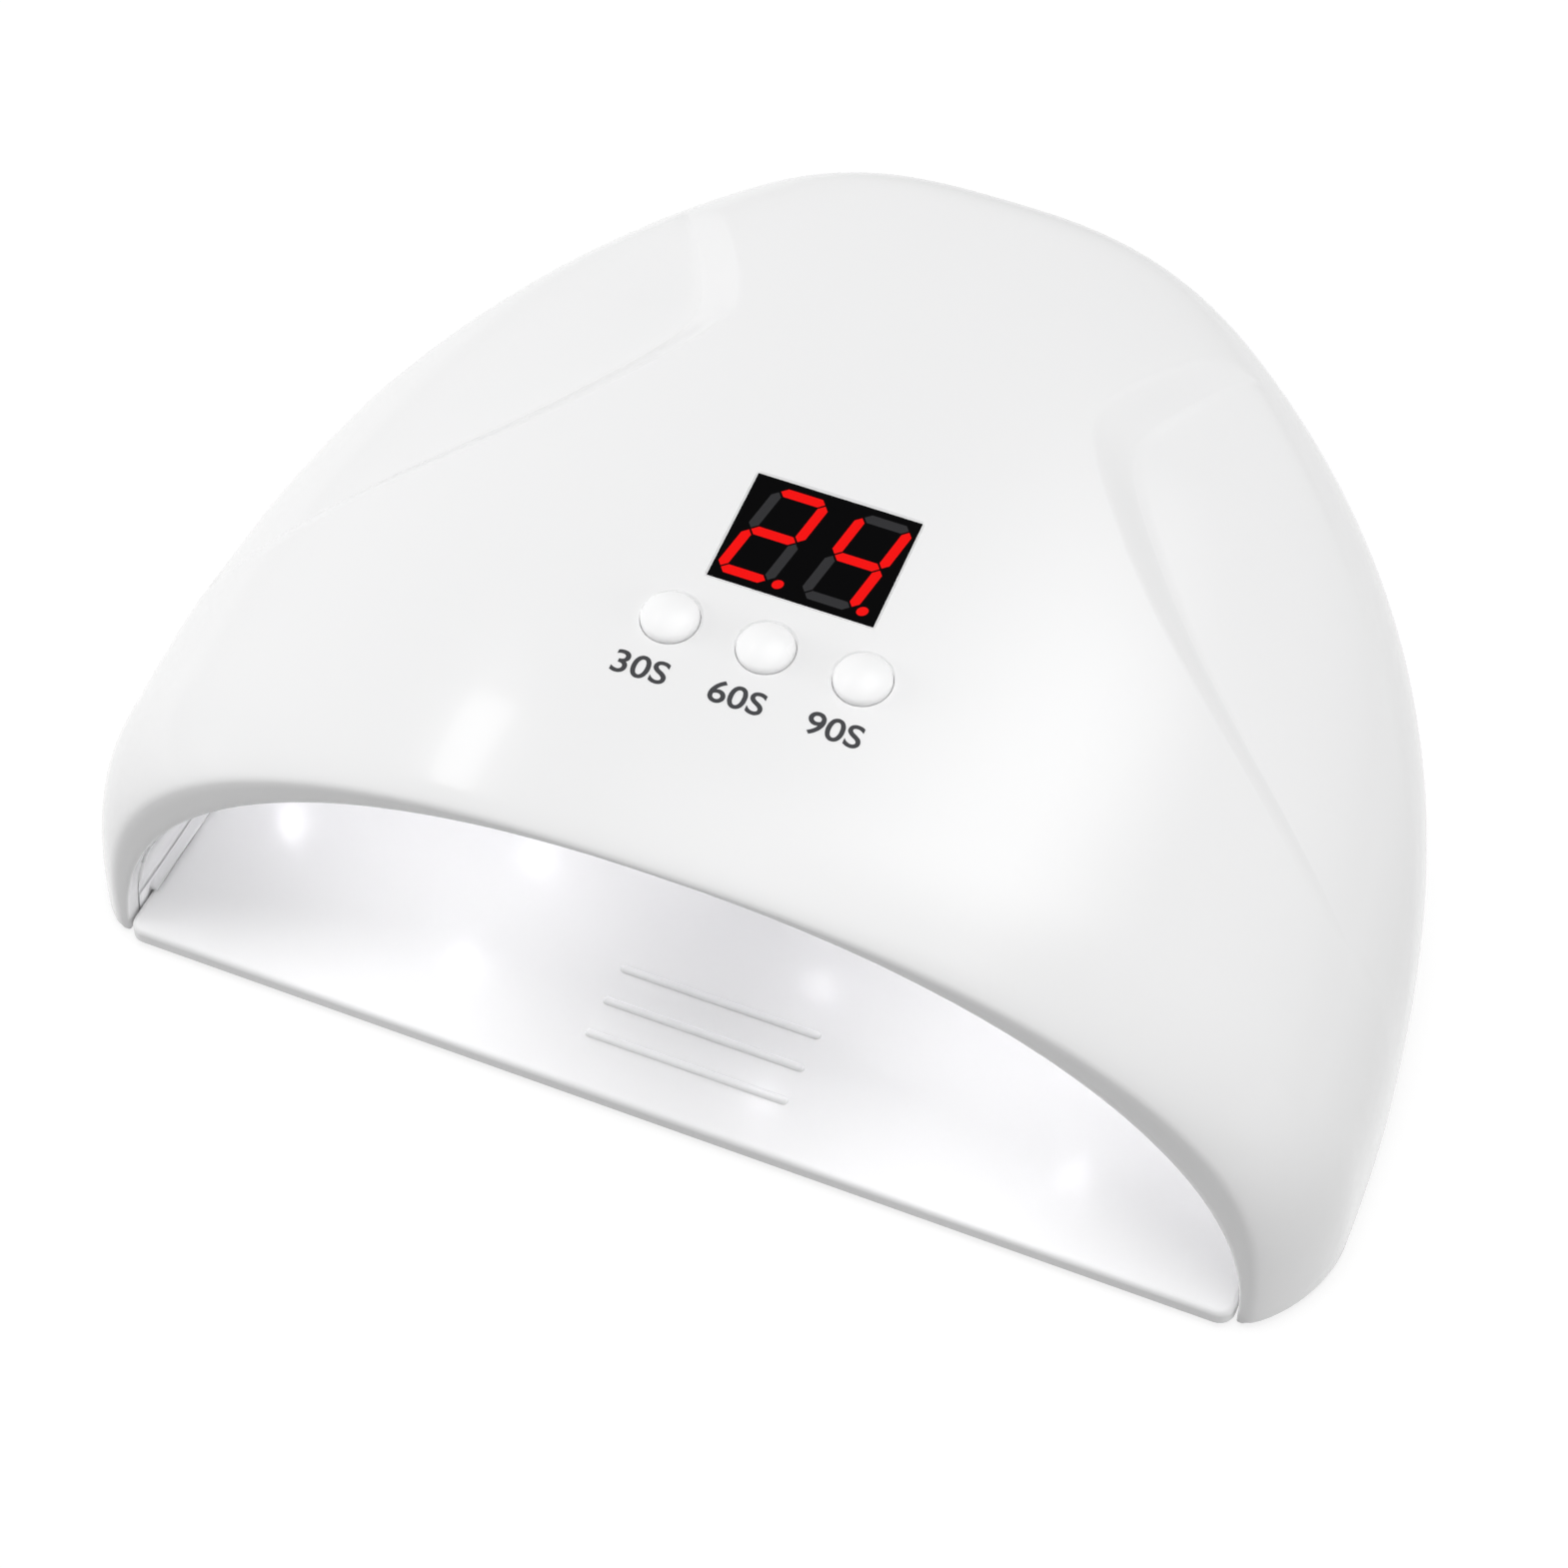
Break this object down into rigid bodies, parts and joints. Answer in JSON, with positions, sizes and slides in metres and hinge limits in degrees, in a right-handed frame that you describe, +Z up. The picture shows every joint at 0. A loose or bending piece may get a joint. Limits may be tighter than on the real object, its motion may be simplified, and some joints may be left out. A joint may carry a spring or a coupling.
{
  "type": "led nail lamp",
  "caption": "Domed white lamp for curing nail gel, with a hand opening, slide-out base tray, timer display and press buttons.",
  "frame": {"origin": "middle of the footprint, on the surface that the feet stand on", "axes": "+X to the right and +Y to the back seen from the hand opening, +Z up"},
  "size_m": [0.195, 0.1396, 0.075],
  "materials": {
    "housing_plastic": "glossy white ABS",
    "reflector_plastic": "glossy reflective white",
    "tray_plastic": "glossy white",
    "button_plastic": "satin white",
    "black_plastic": "matt black",
    "switch_metal": "pressed steel",
    "display_black": "black",
    "segment_red": "lit red",
    "segment_grey": "unlit dark grey",
    "circuit_board": "green solder mask",
    "screw_steel": "plated steel",
    "capacitor_sleeve": "shrink sleeve",
    "socket_plastic": "natural nylon",
    "contact_metal": "nickel plated",
    "bead_board": "white coated aluminium",
    "bead_lens": "clear silicone over violet chips",
    "emitter_lens": "tinted clear",
    "receiver_lens": "dark tinted",
    "foot_rubber": "soft rubber"
  },
  "bodies": {
    "lamp": {"top_housing": "housing_plastic", "reflector_liner": "reflector_plastic", "tact_switches": "switch_metal", "display_module": "display_black", "lit_segments": "segment_red", "unlit_segments": "segment_grey", "control_board": "circuit_board", "board_screws": "screw_steel", "control_chip": "black_plastic", "driver_transistors": "black_plastic", "smoothing_capacitor": "capacitor_sleeve", "chip_resistors": "black_plastic", "board_sockets": "socket_plastic", "dc_jack": "black_plastic", "dc_jack_pin": "contact_metal", "led_boards": "bead_board", "led_beads": "bead_lens", "sensor_board": "circuit_board", "infrared_emitter": "emitter_lens", "infrared_receiver": "receiver_lens", "liner_screws": "screw_steel", "rubber_feet": "foot_rubber"},
    "tray": {"base_tray": "tray_plastic"},
    "key_30s": {"button_30s": "button_plastic", "switch_plunger_30s": "black_plastic"},
    "key_60s": {"button_60s": "button_plastic", "switch_plunger_60s": "black_plastic"},
    "key_90s": {"button_90s": "button_plastic", "switch_plunger_90s": "black_plastic"}
  },
  "joints": [
    {"name": "tray_slide", "type": "slide", "parent": "lamp", "child": "tray", "axis": [0, -1, 0], "range_m": [0, 0.112]},
    {"name": "press_30s", "type": "slide", "parent": "lamp", "child": "key_30s", "axis": [0, 0.1426, -0.9898], "range_m": [0, 0.0005], "stiffness_N_per_m": 400, "springref_m": -0.0005},
    {"name": "press_60s", "type": "slide", "parent": "lamp", "child": "key_60s", "axis": [0, 0.1426, -0.9898], "range_m": [0, 0.0005], "stiffness_N_per_m": 400, "springref_m": -0.0005},
    {"name": "press_90s", "type": "slide", "parent": "lamp", "child": "key_90s", "axis": [0, 0.1426, -0.9898], "range_m": [0, 0.0005], "stiffness_N_per_m": 400, "springref_m": -0.0005}
  ]
}
